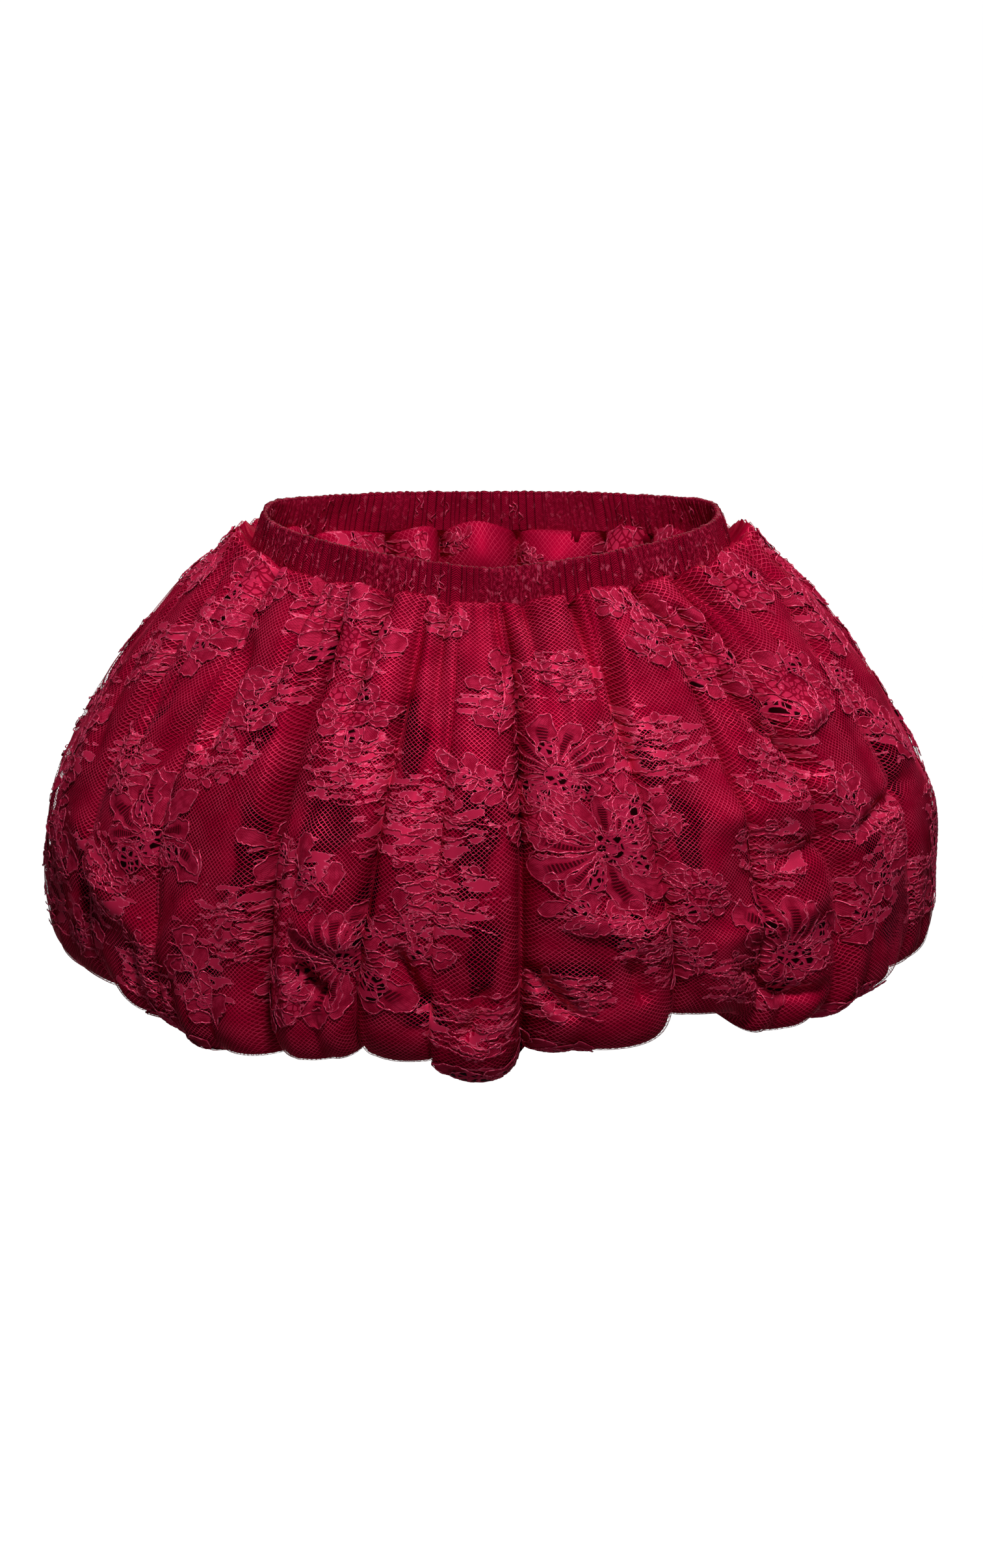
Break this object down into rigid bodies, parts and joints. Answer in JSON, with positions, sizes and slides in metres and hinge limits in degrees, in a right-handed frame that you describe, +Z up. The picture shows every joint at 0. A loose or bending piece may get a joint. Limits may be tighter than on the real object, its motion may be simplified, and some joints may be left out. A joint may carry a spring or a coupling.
{
  "type": "balloon mini skirt",
  "caption": "Balloon mini skirt with an elasticated waistband; the gathered outer layer swells, turns under at the hem and is caught to an A-line lining.",
  "frame": {"origin": "centre of the waist, level with the middle of the waistband between its high sides and its low front", "axes": "+Z up towards the wearer's head, -Y the skirt's front, +X to the right as seen from the front, from side seam to side seam"},
  "size_m": [0.5201, 0.392, 0.2902],
  "materials": {
    "waistband_lace": "ruched net over elastic",
    "shell_lace": "corded floral lace on fine net over satin",
    "lining_lace": "lace-faced satin lining"
  },
  "bodies": {
    "root": {"waistband": "waistband_lace", "shell_front": "shell_lace", "shell_back": "shell_lace", "lining_front": "lining_lace", "lining_back": "lining_lace"}
  },
  "joints": []
}
